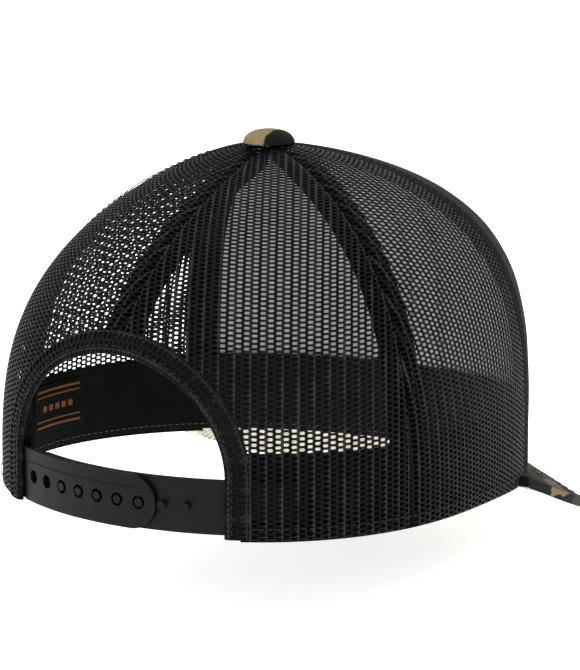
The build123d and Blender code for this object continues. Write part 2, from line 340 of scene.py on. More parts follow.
def noise(nodes, links, vector, scale, detail=3.0, roughness=0.5):
    """Noise factor at a scale."""
    texture = nodes.new("ShaderNodeTexNoise")
    texture.inputs["Scale"].default_value = scale
    texture.inputs["Detail"].default_value = detail
    texture.inputs["Roughness"].default_value = roughness
    links.new(vector, texture.inputs["Vector"])
    return texture.outputs["Fac"]


def ramp(nodes, links, factor, stops):
    """Colour ramp from (position, colour) stops."""
    node = nodes.new("ShaderNodeValToRGB")
    while len(node.color_ramp.elements) < len(stops):
        node.color_ramp.elements.new(0.5)
    for element, (position, color) in zip(node.color_ramp.elements, stops):
        element.position = position
        element.color = (*color, 1)
    links.new(factor, node.inputs["Fac"])
    return node.outputs["Color"]


def math_node(nodes, links, operation, first, second):
    """Math on two factors or numbers."""
    node = nodes.new("ShaderNodeMath")
    node.operation = operation
    for socket, value in zip(node.inputs, (first, second)):
        if isinstance(value, (int, float)):
            socket.default_value = value
        else:
            links.new(value, socket)
    return node.outputs[0]


def mix_color(nodes, links, factor, first, second, mode="MIX"):
    """Mix two colours; each may be a socket or an RGB triple."""
    node = nodes.new("ShaderNodeMix")
    node.data_type = "RGBA"
    node.blend_type = mode
    for socket, value in zip((node.inputs[0], node.inputs[6], node.inputs[7]),
                             (factor, first, second)):
        if isinstance(value, tuple):
            socket.default_value = (*value, 1)
        elif isinstance(value, (int, float)):
            socket.default_value = value
        else:
            links.new(value, socket)
    return node.outputs[2]


def bump(nodes, links, height, strength, distance, shader, previous=None):
    """Bump from a height factor into the shader's normal."""
    node = nodes.new("ShaderNodeBump")
    node.inputs["Strength"].default_value = strength
    node.inputs["Distance"].default_value = distance
    links.new(height, node.inputs["Height"])
    if previous is not None:
        links.new(previous, node.inputs["Normal"])
    links.new(node.outputs["Normal"], shader.inputs["Normal"])
    return node.outputs["Normal"]


def twill_height(nodes, links, vector, scale):
    """Diagonal ribs of a twill weave, broken into single floats by a second wave."""
    ribs = nodes.new("ShaderNodeTexWave")
    ribs.wave_type = "BANDS"
    ribs.bands_direction = "DIAGONAL"
    ribs.inputs["Scale"].default_value = scale
    ribs.inputs["Distortion"].default_value = 0.6
    ribs.inputs["Detail"].default_value = 1.0
    links.new(vector, ribs.inputs["Vector"])
    floats = nodes.new("ShaderNodeTexWave")
    floats.wave_type = "BANDS"
    floats.bands_direction = "X"
    floats.inputs["Scale"].default_value = scale * 1.6
    floats.inputs["Distortion"].default_value = 0.8
    links.new(vector, floats.inputs["Vector"])
    part = math_node(nodes, links, "MULTIPLY", floats.outputs["Fac"], 0.35)
    return math_node(nodes, links, "ADD", ribs.outputs["Fac"], part)


def cloth_material(name, dark, light, shine, weave_scale=420.0, patch_scale=90.0):
    """Plain dyed twill between a dark and a light shade."""
    middle = tuple((d + l) / 2 for d, l in zip(dark, light))
    material, nodes, links, shader = new_material(name, middle, 0.8, shine)
    vector = coordinates(nodes, links)
    weave = twill_height(nodes, links, vector, weave_scale)
    patches = noise(nodes, links, vector, patch_scale, 4.0)
    fibre = noise(nodes, links, vector, 1500.0, 2.0)
    shade = ramp(nodes, links, patches, [(0.3, dark), (0.7, light)])
    speck = ramp(nodes, links, fibre, [(0.3, grey(0.7)), (0.7, grey(1.25))])
    links.new(mix_color(nodes, links, 0.8, shade, speck, "MULTIPLY"), shader.inputs["Base Color"])
    first = bump(nodes, links, weave, 0.5, 0.0002, shader)
    bump(nodes, links, fibre, 0.35, 0.0001, shader, first)
    return material


def mesh_material():
    """Black knitted polyester: fine fibres, with painted highlights as paler streaks along the
    upright ribs between the hole columns.
    """
    material, nodes, links, shader = new_material("black_mesh_knit", grey(0.003), 0.45, 0.05)
    vector = coordinates(nodes, links)
    fibre = noise(nodes, links, vector, 2600.0, 2.0)
    patches = noise(nodes, links, vector, 55.0, 3.0)
    color = ramp(nodes, links, patches, [(0.3, grey(0.0022)), (0.7, grey(0.0055))])
    # painted highlight: the thread colour is lightened along the ribs between the hole columns and
    # at the knots of each course, broken up by noise
    pitches = (0.5 / UV_PER_MM / COLUMN_PITCH, 1 / UV_PER_MM / ROW_PITCH, 1)
    split = nodes.new("ShaderNodeSeparateXYZ")
    links.new(coordinates(nodes, links, "UV", pitches), split.inputs["Vector"])
    shifted = math_node(nodes, links, "ADD", split.outputs["X"], 0.25)
    wale = math_node(nodes, links, "PINGPONG", shifted, 0.5)
    uneven = math_node(nodes, links, "MULTIPLY", noise(nodes, links, vector, 120.0, 3.0), 0.4)
    course = math_node(nodes, links, "PINGPONG", split.outputs["Y"], 0.5)
    knots = math_node(nodes, links, "MULTIPLY", course, 0.35)
    streaks = math_node(nodes, links, "ADD", wale, uneven)
    raised = math_node(nodes, links, "ADD", streaks, knots)
    dull = ramp(nodes, links, fibre, [(0.35, grey(0.35)), (0.65, grey(1.0))])
    dulled = mix_color(nodes, links, 0.7, color, dull, "MULTIPLY")
    lit = ramp(nodes, links, raised, [(0.66, grey(0)), (0.86, grey(1))])
    # painted highlight mixed into the dark thread colour
    painted_highlight_color = mix_color(nodes, links, lit, dulled, (0.022, 0.022, 0.023))
    links.new(painted_highlight_color, shader.inputs["Base Color"])
    rough = math_node(nodes, links, "MULTIPLY", fibre, 0.3)
    links.new(math_node(nodes, links, "ADD", rough, 0.25), shader.inputs["Roughness"])
    bump(nodes, links, fibre, 0.7, 0.00012, shader)
    return material


def camo_color(nodes, links, vector, base):
    """Patches of dark green, brown and black with wavy edges over a base tan."""
    warp = nodes.new("ShaderNodeTexNoise")
    warp.inputs["Scale"].default_value = 38.0
    warp.inputs["Detail"].default_value = 3.0
    links.new(vector, warp.inputs["Vector"])
    shift = nodes.new("ShaderNodeVectorMath")
    shift.operation = "MULTIPLY_ADD"
    shift.inputs[1].default_value = (0.016, 0.016, 0.016)
    links.new(warp.outputs["Color"], shift.inputs[0])
    links.new(vector, shift.inputs[2])
    layers = (
        (31.0, (0.0, 0.0, 0.0), 0.5, (0.022, 0.028, 0.014)),
        (36.0, (3.1, 1.7, 0.4), 0.54, (0.032, 0.019, 0.011)),
        (42.0, (7.3, 5.2, 2.6), 0.52, (0.004, 0.0045, 0.004)),
    )
    color = base
    for scale, offset, level, paint in layers:
        move = nodes.new("ShaderNodeMapping")
        move.inputs["Location"].default_value = offset
        move.inputs["Scale"].default_value = (1.0, 1.0, 1.7)
        links.new(shift.outputs["Vector"], move.inputs["Vector"])
        patch = noise(nodes, links, move.outputs["Vector"], scale, 1.5, 0.45)
        edge = ramp(nodes, links, patch, [(level - 0.006, grey(0)), (level + 0.006, grey(1))])
        color = mix_color(nodes, links, edge, color, paint)
    return color


def printed_twill(name, dark_zone, base=(0.16, 0.12, 0.065), patches=True):
    """Camouflage or plain twill; dark_zone(nodes, links) gives a factor that turns it black: print
    on the button, painted shade beside the front panels' rear seams, black at the visor's rear ends.
    """
    material, nodes, links, shader = new_material(name, (0.08, 0.07, 0.04), 0.85, 0.1)
    vector = coordinates(nodes, links)
    color = camo_color(nodes, links, vector, base) if patches else base
    zone = dark_zone(nodes, links)
    # black from the zone: print on the button, painted shade beside the front panels' rear seams
    color = mix_color(nodes, links, zone, color, (0.004, 0.0045, 0.004))
    weave = twill_height(nodes, links, vector, 380.0)
    fibre = noise(nodes, links, vector, 900.0, 3.0)
    tint = ramp(nodes, links, fibre, [(0.25, grey(0.72)), (0.75, grey(1.15))])
    links.new(mix_color(nodes, links, 0.8, color, tint, "MULTIPLY"), shader.inputs["Base Color"])
    first = bump(nodes, links, weave, 0.55, 0.0002, shader)
    bump(nodes, links, fibre, 0.3, 0.0001, shader, first)
    return material


def wavy_zone(nodes, links, source, direction, level, width, wobble, wave_scale):
    """Factor rising from 0 to 1 past a level along a direction, with a wavy boundary."""
    vector = coordinates(nodes, links, source)
    along = nodes.new("ShaderNodeVectorMath")
    along.operation = "DOT_PRODUCT"
    along.inputs[1].default_value = direction
    links.new(vector, along.inputs[0])
    ripple = noise(nodes, links, vector, wave_scale, 2.0)
    waves = math_node(nodes, links, "MULTIPLY", ripple, wobble)
    value = math_node(nodes, links, "ADD", along.outputs["Value"], waves)
    spread = math_node(nodes, links, "SUBTRACT", value, level)
    scaled = math_node(nodes, links, "DIVIDE", spread, width)
    clamp = nodes.new("ShaderNodeClamp")
    links.new(scaled, clamp.inputs["Value"])
    return clamp.outputs["Result"]


def painted_seam_shade(nodes, links):
    """Painted shade: black beside the rear seam of a front panel, wider towards the button."""
    return wavy_zone(nodes, links, "UV", (-1, 0.27, 0), -0.09, 0.01, 0.1, 7.0)


def button_black_side(nodes, links):
    """Black print on the wearer's right side of the button."""
    return wavy_zone(nodes, links, "Object", (-1, 0, 0), 0.0045, 0.0006, 0.003, 160.0)


def visor_root_black(nodes, links):
    """Black at the rear ends of the visor, with a wavy edge."""
    return wavy_zone(nodes, links, "Object", (0, 1, 0), -0.024, 0.003, 0.014, 160.0)


def lining_material():
    """Pale grey stiff lining, open plain weave."""
    middle = (0.48, 0.48, 0.49)
    material, nodes, links, shader = new_material("grey_lining_weave", middle, 0.85, 0.1)
    vector = coordinates(nodes, links)
    weave = noise(nodes, links, vector, 1100.0, 2.0)
    color = ramp(nodes, links, weave, [(0.3, (0.4, 0.4, 0.41)), (0.7, (0.56, 0.56, 0.57))])
    links.new(color, shader.inputs["Base Color"])
    bump(nodes, links, weave, 0.5, 0.0002, shader)
    return material


def plastic_material():
    """Satin black moulded plastic with a faint orange-peel and scuffs."""
    material, nodes, links, shader = new_material("strap_black_plastic", grey(0.003), 0.42, 0.12)
    vector = coordinates(nodes, links)
    peel = noise(nodes, links, vector, 700.0, 2.0)
    wear = noise(nodes, links, vector, 60.0, 5.0, 0.6)
    color = ramp(nodes, links, wear, [(0.35, grey(0.0015)), (0.75, grey(0.004))])
    links.new(color, shader.inputs["Base Color"])
    scuff = math_node(nodes, links, "MULTIPLY", wear, 0.3)
    links.new(math_node(nodes, links, "ADD", scuff, 0.3), shader.inputs["Roughness"])
    bump(nodes, links, peel, 0.15, 0.0001, shader)
    return material


def thread_material(name, color):
    """Twisted sewing thread."""
    material, nodes, links, shader = new_material(name, color, 0.6, 0.15)
    vector = coordinates(nodes, links)
    twist = noise(nodes, links, vector, 2400.0, 2.0)
    darker = tuple(c * 0.6 for c in color)
    links.new(ramp(nodes, links, twist, [(0.3, darker), (0.7, color)]), shader.inputs["Base Color"])
    bump(nodes, links, twist, 0.6, 0.0001, shader)
    return material


def grained_material(name, dark, light, roughness, metallic=0.0):
    """Fine-grained hard surface."""
    material, nodes, links, shader = new_material(name, dark, roughness, 0.4, metallic)
    vector = coordinates(nodes, links)
    grain = noise(nodes, links, vector, 900.0, 3.0)
    links.new(ramp(nodes, links, grain, [(0.3, dark), (0.7, light)]), shader.inputs["Base Color"])
    bump(nodes, links, grain, 0.2, 0.0001, shader)
    return material


MESH = mesh_material()
TAPE = cloth_material("black_seam_tape", grey(0.001), grey(0.003), 0.03, 900.0)
BAND = cloth_material("black_sweatband_twill", grey(0.002), grey(0.005), 0.08)
# front panels: camouflage print with painted shade beside their rear seams
CAMO = printed_twill("camo_twill_cloth", painted_seam_shade)
BUTTON_CAMO = printed_twill("button_camo_twill", button_black_side, (0.2, 0.15, 0.08), False)
VISOR_CAMO = printed_twill("visor_camo_twill", visor_root_black)
KHAKI = cloth_material("khaki_twill_cloth", (0.68, 0.64, 0.54), (0.8, 0.77, 0.68), 0.2, 380.0, 160.0)
LINING = lining_material()
PLASTIC = plastic_material()
BLACK_THREAD = thread_material("black_thread", grey(0.006))
SEAM_THREAD = thread_material("seam_thread", grey(0.014))
DARK_THREAD = thread_material("dark_green_thread", (0.014, 0.015, 0.01))
PALE_THREAD = thread_material("pale_grey_thread", grey(0.12))
KHAKI_THREAD = thread_material("khaki_thread", (0.5, 0.45, 0.33))
ORANGE_THREAD = thread_material("orange_brown_thread", (0.2, 0.078, 0.026))
STEEL = grained_material("button_steel", grey(0.3), grey(0.5), 0.4, 1.0)
BOARD = grained_material("visor_board_plastic", (0.6, 0.6, 0.58), (0.72, 0.72, 0.7), 0.5)


# ======== knitted lattice
def hexagon():
    """Ten points of one cell of the staggered grid, from its right corner round."""
    flat = COLUMN_PITCH / 2 - ROW_PITCH**2 / (8 * COLUMN_PITCH)
    corner = COLUMN_PITCH - flat
    half = ROW_PITCH / 2
    slope = (corner + flat) / 2
    upper = [(slope, half / 2), (flat, half), (-flat, half), (-slope, half / 2)]
    lower = [(x, -y) for x, y in upper[::-1]]
    return np.array([(corner, 0.0), *upper, (-corner, 0.0), *lower])


def ellipse_like(points):
    """The hole's edge, one point on each ray to the cell's edge."""
    angle = np.arctan2(points[:, 1] / HOLE_HALF_HEIGHT, points[:, 0] / HOLE_HALF_WIDTH)
    return np.stack([HOLE_HALF_WIDTH * np.cos(angle), HOLE_HALF_HEIGHT * np.sin(angle)], 1)


def lattice_cells(u_range, v_range, keep):
    """Cell centres of the staggered grid inside the ranges where keep(u, v) holds."""

    def numbers(span, pitch):
        return np.arange(math.floor(span[0] / pitch) - 1, math.ceil(span[1] / pitch) + 2)

    i, j = np.meshgrid(numbers(u_range, COLUMN_PITCH), numbers(v_range, ROW_PITCH), indexing="ij")
    u = i * COLUMN_PITCH
    v = (j + 0.5 * (i % 2)) * ROW_PITCH
    u, v = u.ravel(), v.ravel()
    mask = keep(u, v)
    return u[mask], v[mask]


def lattice(name, cells, to_space):
    """Perforated knit: each cell is a ring of quads from the shared ridge to its hole."""
    u0, v0 = cells
    ridge = hexagon()
    hole = ellipse_like(ridge)
    middle = ridge * 0.55 + hole * 0.45
    count = len(ridge)
    vertical = np.abs(ridge[:, 0]) > COLUMN_PITCH * 0.36
    high = np.where(vertical, THREAD_RISE, THREAD_RISE * 0.45)
    rings = [(ridge, high), (middle, high * 0.85), (hole, np.zeros(count)),
             (middle, -high * 0.85), (ridge, -high)]
    flat, lift = [], []
    for ring, heights in rings:
        flat.append(np.stack([u0[:, None] + ring[None, :, 0], v0[:, None] + ring[None, :, 1]], -1))
        lift.append(np.broadcast_to(heights, (len(u0), count)))
    flat = np.stack(flat, 1)
    lift = np.stack(lift, 1)
    index = np.arange(len(u0) * len(rings) * count).reshape(len(u0), len(rings), count)
    following = np.roll(index, -1, axis=2)
    quads = [np.stack([index[:, k], following[:, k], following[:, k + 1], index[:, k + 1]], -1)
             for k in range(len(rings) - 1)]
    faces = np.stack(quads, 1).reshape(-1, 4)
    flat, lift = flat.reshape(-1, 2), lift.reshape(-1)
    key = np.round(np.column_stack([flat * 200, lift * 200])).astype(np.int64)
    _, first, inverse = np.unique(key, axis=0, return_index=True, return_inverse=True)
    faces = inverse.reshape(-1)[faces]
    flat, lift = flat[first], lift[first]
    points, uv = to_space(flat[:, 0], flat[:, 1], lift)
    good = np.array([len({*face}) for face in faces.tolist()]) == 4
    return make_object(name, points, faces[good][:, ::-1], MESH, uv)


def seam_valley(distance):
    """Depth of the dip beside a seam, by distance from it along the cloth."""
    return 1.1 * np.exp(-np.square(np.asarray(distance) / 1.6))


def panel_lattice(name, phi_from, phi_to, side, extra=None):
    """Mesh panel between two seams, its rim folded under; side -1 is the wearer's right."""
    gore = Gore(phi_from, phi_to)

    def inside(u, v):
        low, high = gore.limits(v)
        keep = (v > -2.0) & (v < gore.tall - 0.5)
        keep &= (u > low - 0.45 * COLUMN_PITCH) & (u < high + 0.45 * COLUMN_PITCH)
        if extra is not None:
            phi, h = gore.place(u, v)
            keep &= extra(phi, h)
        return keep

    def to_space(u, v, lift):
        under = np.clip(-v, 0, UNDERFOLD_LENGTH)
        v = np.clip(v, 0, gore.tall)
        low, high = gore.limits(v)
        u = np.clip(u, low, high)
        phi, h = gore.place(u, v)
        edge = np.minimum(u - low, high - u)
        points = crown(phi, h, MESH_DEPTH - lift + seam_valley(edge) + 0.8 * under)
        points[:, 2] -= 0.9 * np.sin(under * 1.1)
        points[:, 0] *= -side
        return points, np.stack([u, v], 1) * UV_PER_MM

    low, high = gore.across[:, 0].min(), gore.across[:, -1].max()
    return lattice(name, lattice_cells((low, high), (0, gore.tall), inside), to_space)


def outside_arch(phi, h, grow):
    """True where the crown is clear of the rear opening grown by some millimetres."""
    spot = outer(phi, h) - SHIFT
    x, z = np.abs(spot[..., 0]), spot[..., 2]
    wide, tall = ARCH_HALF_WIDTH + grow, ARCH_RISE + grow
    low = (z < ARCH_SPRING_Z) & (x < wide)
    dome = (x / wide) ** 2 + ((z - ARCH_SPRING_Z) / tall) ** 2 < 1
    return ~(low | ((z >= ARCH_SPRING_Z) & dome))


for side, word in ((-1, "right"), (1, "left")):
    knit = panel_lattice(f"side_knit_{word}", SEAM_BACK_SIDE, SEAM_SIDE_FRONT, side)
    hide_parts(f"side_mesh_{word}")
    knit = panel_lattice(f"back_knit_{word}", 0.0, SEAM_BACK_SIDE, side,
                         lambda phi, h: outside_arch(phi, h, MESH_CLEARANCE))
    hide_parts(f"back_mesh_{word}")

# ======== bands, threads
def sweep(name, count, section, place, material):
    """Solid strip: closed section of (across, depth) pairs carried along a path by place."""
    across, depth = np.array(section, float).T
    along = np.linspace(0, 1, count)
    grid = np.broadcast_to(along[:, None], (count, len(section)))
    points = place(grid, np.broadcast_to(across, grid.shape), np.broadcast_to(depth, grid.shape))
    faces = grid_faces(count, len(section), wrap=True).tolist()
    faces.append(list(range(len(section))))
    faces.append(list(range(len(section) * count - 1, len(section) * (count - 1) - 1, -1)))
    uv = np.stack([grid, np.broadcast_to(across, grid.shape) * 0.1], -1).reshape(-1, 2)
    return make_object(name, points.reshape(-1, 3), faces, material, uv)


def rounded(low, high, top, bottom, bulge=0.0, steps=4):
    """Section from across low to high and depth top to bottom with round ends."""
    radius = (bottom - top) / 2
    middle = (bottom + top) / 2
    turn = np.linspace(-np.pi / 2, np.pi / 2, 2 * steps + 1)
    right = [(high - radius + radius * math.cos(t), middle + radius * math.sin(t)) for t in turn]
    left = [(low + radius - radius * math.cos(t), middle - radius * math.sin(t)) for t in turn]
    inner = np.linspace(0.2, 0.8, 4)
    span = high - low - 2 * radius
    under = [(high - radius - span * k, bottom + bulge * math.sin(math.pi * k)) for k in inner]
    over = [(low + radius + span * k, top - bulge * math.sin(math.pi * k)) for k in inner]
    return right + under + left + over


def stitch_row(name, points, normals, material, pitch=2.9, length=2.1, radius=0.24):
    """Row of sewn stitches along a line: spindles whose ends sink into the cloth."""
    gaps = np.linalg.norm(np.diff(points, axis=0), axis=1)
    reach = np.concatenate([[0], np.cumsum(gaps)])
    starts = np.arange(pitch / 2, reach[-1] - length, pitch)
    around = 6
    turn = np.linspace(0, 2 * np.pi, around, endpoint=False)
    spindle = ((0.0, 0.15), (0.18, 0.8), (0.5, 1.0), (0.82, 0.8), (1.0, 0.15))
    vertices, faces = [], []
    for start in starts:
        shaken = start + rng.uniform(-0.12, 0.12)
        for step, width in spindle:
            spot = shaken + step * length
            centre = np.array([np.interp(spot, reach, points[:, k]) for k in range(3)])
            ahead = np.array([np.interp(spot + 0.4, reach, points[:, k]) for k in range(3)])
            normal = np.array([np.interp(spot, reach, normals[:, k]) for k in range(3)])
            forward = (ahead - centre) / max(np.linalg.norm(ahead - centre), 1e-6)
            side = np.cross(normal, forward)
            lift = radius * (width - 0.75)
            first = len(vertices)
            for angle in turn:
                ring = side * math.cos(angle) + normal * math.sin(angle)
                vertices.append(centre + normal * lift + ring * radius * width)
            if step > 0:
                before = first - around
                for k in range(around):
                    beside = (k + 1) % around
                    faces.append([before + k, before + beside, first + beside, first + k])
    return make_object(name, vertices, faces, material)


def mirror_right(points, side):
    """Points worked out on the wearer's right, moved to the side asked for."""
    points = points.copy()
    points[..., 0] *= -side
    return points


def crown_line(name, phi, h, depth, material, side):
    """Stitch row along crown coordinates."""
    normals = -mirror_right(inward(phi, h), side)
    points = mirror_right(crown(phi, h, np.full(len(phi), float(depth))), side)
    return stitch_row(name, points, normals, material)


def angle_off(distance, phi, h):
    """Degrees round the crown that a distance along it makes."""
    return np.degrees(distance / (series(RIM_RADIUS, phi) * narrowing(phi, h)))


def seam_stitches(label, seam, offset, depth, material, side, low=0.03, high=0.965):
    """Stitches beside a seam at a distance from it; they stop where the seams crowd together."""
    h = np.linspace(low, high, 80)
    phi = seam + angle_off(offset, seam, h)
    return crown_line(label, phi, h, depth, material, side)


# ======== seams and tapes
def seam_tape(node, seam, side, material):
    """Puffed tape behind a seam."""

    def point(u, v, w):
        h = TAPE_BOTTOM + (TAPE_TOP - TAPE_BOTTOM) * (1 - (1 - v) ** TAPE_CROWDING)
        half = np.minimum(angle_off(TAPE_HALF_WIDTH, seam, h), TAPE_MAX_ANGLE)
        puff = 0.12 * np.sin(np.pi * u) + 0.08 * np.sin(2 * np.pi * u) ** 2
        points = crown(seam + half * (2 * u - 1), h, TAPE_DEPTH + (TAPE_THICKNESS + puff) * w)
        return mirror_right(points, side)

    tape = slab(node + "_cloth", point, 13, 70, material, flip=side > 0)
    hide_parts(node)
    inside = TAPE_DEPTH + TAPE_THICKNESS + 0.17
    for offset, tag in ((-TAPE_STITCH_OFFSET, "a"), (TAPE_STITCH_OFFSET, "b")):
        name = f"{node}_stitch_{tag}"
        row = seam_stitches(name, seam, offset, inside, BLACK_THREAD, side, 0.05, 0.8)


def mesh_topstitch(name, seam, offset, side, low=0.03):
    """Stitch row on the outside of the mesh beside a seam."""
    row = seam_stitches(name, seam, offset, TOPSTITCH_DEPTH, SEAM_THREAD, side, low)


for side, word in ((-1, "right"), (1, "left")):
    seam_tape(f"seam_tape_side_front_{word}", SEAM_SIDE_FRONT, side, TAPE)
    seam_tape(f"seam_tape_back_side_{word}", SEAM_BACK_SIDE, side, TAPE)
    mesh_topstitch(f"topstitch_back_side_rear_{word}", SEAM_BACK_SIDE, -TOPSTITCH_OFFSET, side)
    mesh_topstitch(f"topstitch_back_side_fore_{word}", SEAM_BACK_SIDE, TOPSTITCH_OFFSET, side)
    mesh_topstitch(f"topstitch_side_front_rear_{word}", SEAM_SIDE_FRONT, -TOPSTITCH_OFFSET, side)
seam_tape("seam_tape_front_center", SEAM_FRONT, -1, LINING)


def back_centre_tape():
    """Puffed tape behind the back seam, ending above the opening."""
    low = float(height_share(0.0, ARCH_SPRING_Z + ARCH_RISE + 4.0))

    def point(u, v, w):
        h = low + (TAPE_TOP - low) * (1 - (1 - v) ** TAPE_CROWDING)
        half = np.minimum(angle_off(TAPE_HALF_WIDTH, 0.0, h), TAPE_MAX_ANGLE)
        puff = 0.12 * np.sin(np.pi * u)
        return crown(half * (2 * u - 1), h, TAPE_DEPTH + (TAPE_THICKNESS + puff) * w)

    tape = slab("seam_tape_back_center_cloth", point, 13, 50, TAPE)
    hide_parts("seam_tape_back_center")
    mesh_topstitch("topstitch_back_center_left", 0.0, -TOPSTITCH_OFFSET, -1, low)
    mesh_topstitch("topstitch_back_center_right", 0.0, TOPSTITCH_OFFSET, -1, low)


back_centre_tape()


# ======== rear opening hem
def spot_on_back(x, z):
    """phi and h of the outside of the crown at x and z."""
    phi = np.degrees(np.arcsin(np.clip(-x / 100.0, -0.9, 0.9)))
    for _ in range(14):
        h = np.clip(height_share(phi, z), 0, 0.999)
        reach = series(RIM_RADIUS, phi) * narrowing(phi, h)
        phi = np.degrees(np.arcsin(np.clip(-x / reach, -0.95, 0.95)))
    return phi, h


def arch_edge(t):
    """x, z and the outward direction of the opening's edge; t runs 0 to 1 from the right foot."""
    straight = ARCH_SPRING_Z / ARCH_LENGTH
    leg = np.clip(t / straight, 0, 1)
    last = np.clip((1 - t) / straight, 0, 1)
    turn = np.clip((t - straight) / (1 - 2 * straight), 0, 1) * np.pi
    foot = np.minimum(leg, last)
    x = -ARCH_HALF_WIDTH * np.cos(turn)
    z = ARCH_SPRING_Z * foot + ARCH_RISE * np.sin(turn)
    across = np.stack([-np.cos(turn) * ARCH_RISE, np.sin(turn) * ARCH_HALF_WIDTH], -1)
    across /= np.linalg.norm(across, axis=-1, keepdims=True)
    return x, z, across


def arch_place(t, grow, depth):
    """Points beside the opening's edge: grow outwards from it, depth into the crown."""
    x, z, across = arch_edge(t)
    phi, h = spot_on_back(x + grow * across[..., 0], z + grow * across[..., 1])
    return crown(phi, h, depth)


def arch_hem():
    """Mesh folded over the edge of the opening, with its two stitch lines."""
    section = rounded(-0.1, HEM_WIDTH, 0.1, 1.6, 0.1)
    core = sweep("arch_hem_core", 120, section, arch_place, MESH)
    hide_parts("arch_tape")

    def to_space(u, v, lift):
        radius = HEM_FOLD_RADIUS
        turn = np.clip((radius - u) / HEM_FOLD_STRETCH, 0, np.pi / 2)
        grow = np.where(u < radius, radius - radius * np.sin(turn), u)
        fold = np.where(u < radius, radius * (1 - np.cos(turn)), 0.0)
        points = arch_place(np.clip(v / ARCH_LENGTH, 0, 1), grow, fold - 0.25 - lift)
        return points, np.stack([u, v], 1) * UV_PER_MM

    def inside(u, v):
        return (u > -1.2) & (u < 7.2) & (v > 0) & (v < ARCH_LENGTH)

    knit = lattice("arch_hem_knit", lattice_cells((-1, 8), (0, ARCH_LENGTH), inside), to_space)
    t = np.linspace(0.01, 0.99, 160)
    for grow, tag in ((6.6, "outer"), (2.2, "inner")):
        points = arch_place(t, np.full(160, grow), np.full(160, -0.65))
        x, z, across = arch_edge(t)
        phi, h = spot_on_back(x + grow * across[:, 0], z + grow * across[:, 1])
        row = stitch_row(f"arch_stitch_{tag}", points, -inward(phi, h), SEAM_THREAD)


arch_hem()


# ======== rim
def rim_place(side, phi_from, phi_to):
    """Place for a band along the rim: across is the height above it."""

    def place(t, across, depth):
        phi = phi_from + (phi_to - phi_from) * t
        points = crown(phi, np.clip(across, 0, None) / CROWN_TOP, depth)
        points[..., 2] += np.minimum(across, 0)
        return mirror_right(points, side)

    return place


for side, word in ((-1, "right"), (1, "left")):
    place = rim_place(side, RIM_FOLD_START, SEAM_SIDE_FRONT - 0.2)
    fold = sweep(f"rim_fold_{word}", 90, rounded(-1.2, 5.2, 1.0, 2.3, 0.0), place, TAPE)
    phi = np.linspace(RIM_STITCH_START, SEAM_SIDE_FRONT - 1.5, 150)
    h = np.full(150, RIM_STITCH_HEIGHT / CROWN_TOP)
    row = crown_line(f"rim_stitch_{word}", phi, h, -0.3, SEAM_THREAD, side)


# ======== front panels and linings
def puffed_panel(node, depths, phi_range, side, material, dip):
    """Cloth panel whose edges turn down into the seams, with faint wrinkles."""
    low, high = phi_range

    def point(u, v, w):
        phi = low + (high - low) * u
        h = v ** 0.9 * float(top_share((low + high) / 2))
        radius = series(RIM_RADIUS, phi) * np.maximum(narrowing(phi, h), 0.03)
        reach = np.radians(high - low) * radius
        edge = np.minimum(u, 1 - u) * reach
        valley = dip * np.exp(-np.square(edge / 1.8))
        wave = 0.1 * np.sin(phi * 0.31 + h * 9.0) * np.sin(h * 21.0 + phi * 0.11)
        depth = depths[0] + (depths[1] - depths[0]) * w + valley + wave * np.minimum(edge / 10, 1)
        return mirror_right(crown(phi, h, depth), side)

    panel = slab(f"{node}_cloth", point, 70, 80, material, flip=side > 0)
    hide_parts(node)


def front_topstitch(name, seam, offset, side):
    """Stitch row on the outside of a front panel beside a seam."""
    row = seam_stitches(name, seam, offset, TOPSTITCH_DEPTH, DARK_THREAD, side)


for side, word in ((-1, "right"), (1, "left")):
    outer_depths = (0.0, PANEL_THICKNESS)
    inner_depths = (LINING_DEPTH, LINING_DEPTH + PANEL_THICKNESS)
    span = (SEAM_SIDE_FRONT + 0.05, SEAM_FRONT - 0.05)
    inner_span = (span[0] + LINING_SETBACK, span[1])
    puffed_panel(f"front_panel_{word}", outer_depths, span, side, CAMO, 0.9)
    puffed_panel(f"front_lining_{word}", inner_depths, inner_span, side, LINING, 0.0)
    front_topstitch(f"front_topstitch_side_{word}", SEAM_SIDE_FRONT, FRONT_TOPSTITCH_OFFSET, side)
    front_topstitch(f"front_topstitch_center_{word}", SEAM_FRONT, -FRONT_TOPSTITCH_OFFSET, side)


# ======== sweatband and label
def band_depth(phi):
    """Outer depth of the sweatband by angle from the back."""
    away = 180 - np.abs(180 - phi)
    return 2.6 + 3.1 * (1 - smooth(30.0, 52.0, away))


def band_place(t, across, depth):
    """Band coordinates: along its length, height above the rim, depth in the cloth."""
    phi = BAND_START + BAND_ANGLE * t
    ripple = 0.12 * np.sin(phi * 0.9) * np.sin(phi * 0.23 + 1.0)
    return crown(phi, np.clip(across, 0, None) / CROWN_TOP, band_depth(phi) + ripple + depth)


def sweatband():
    """Twill band with rounded edges and two stitch rows."""
    section = rounded(0.1, BAND_HEIGHT, 0.0, BAND_THICKNESS, 0.1, 3)
    band = sweep("sweatband_cloth", 240, section, band_place, BAND)
    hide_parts("sweatband")
    t = np.linspace(0.004, 0.996, 400)
    for height, thread, tag in ((2.2, PALE_THREAD, "low"), (28.2, BLACK_THREAD, "high")):
        phi = BAND_START + BAND_ANGLE * t
        h = np.full(400, height / CROWN_TOP)
        points = band_place(t, np.full(400, height), np.full(400, BAND_THICKNESS + 0.08))
        row = stitch_row(f"sweatband_stitch_{tag}", points, inward(phi, h), thread,
                         pitch=3.1, length=2.2, radius=0.2)


def label_point(u, height, depth):
    """Point on the label: u along it, height above the rim, depth above the band."""
    phi = -(LABEL_START + LABEL_ANGLE * u)
    return crown(phi, height / CROWN_TOP, LABEL_DEPTH + depth)


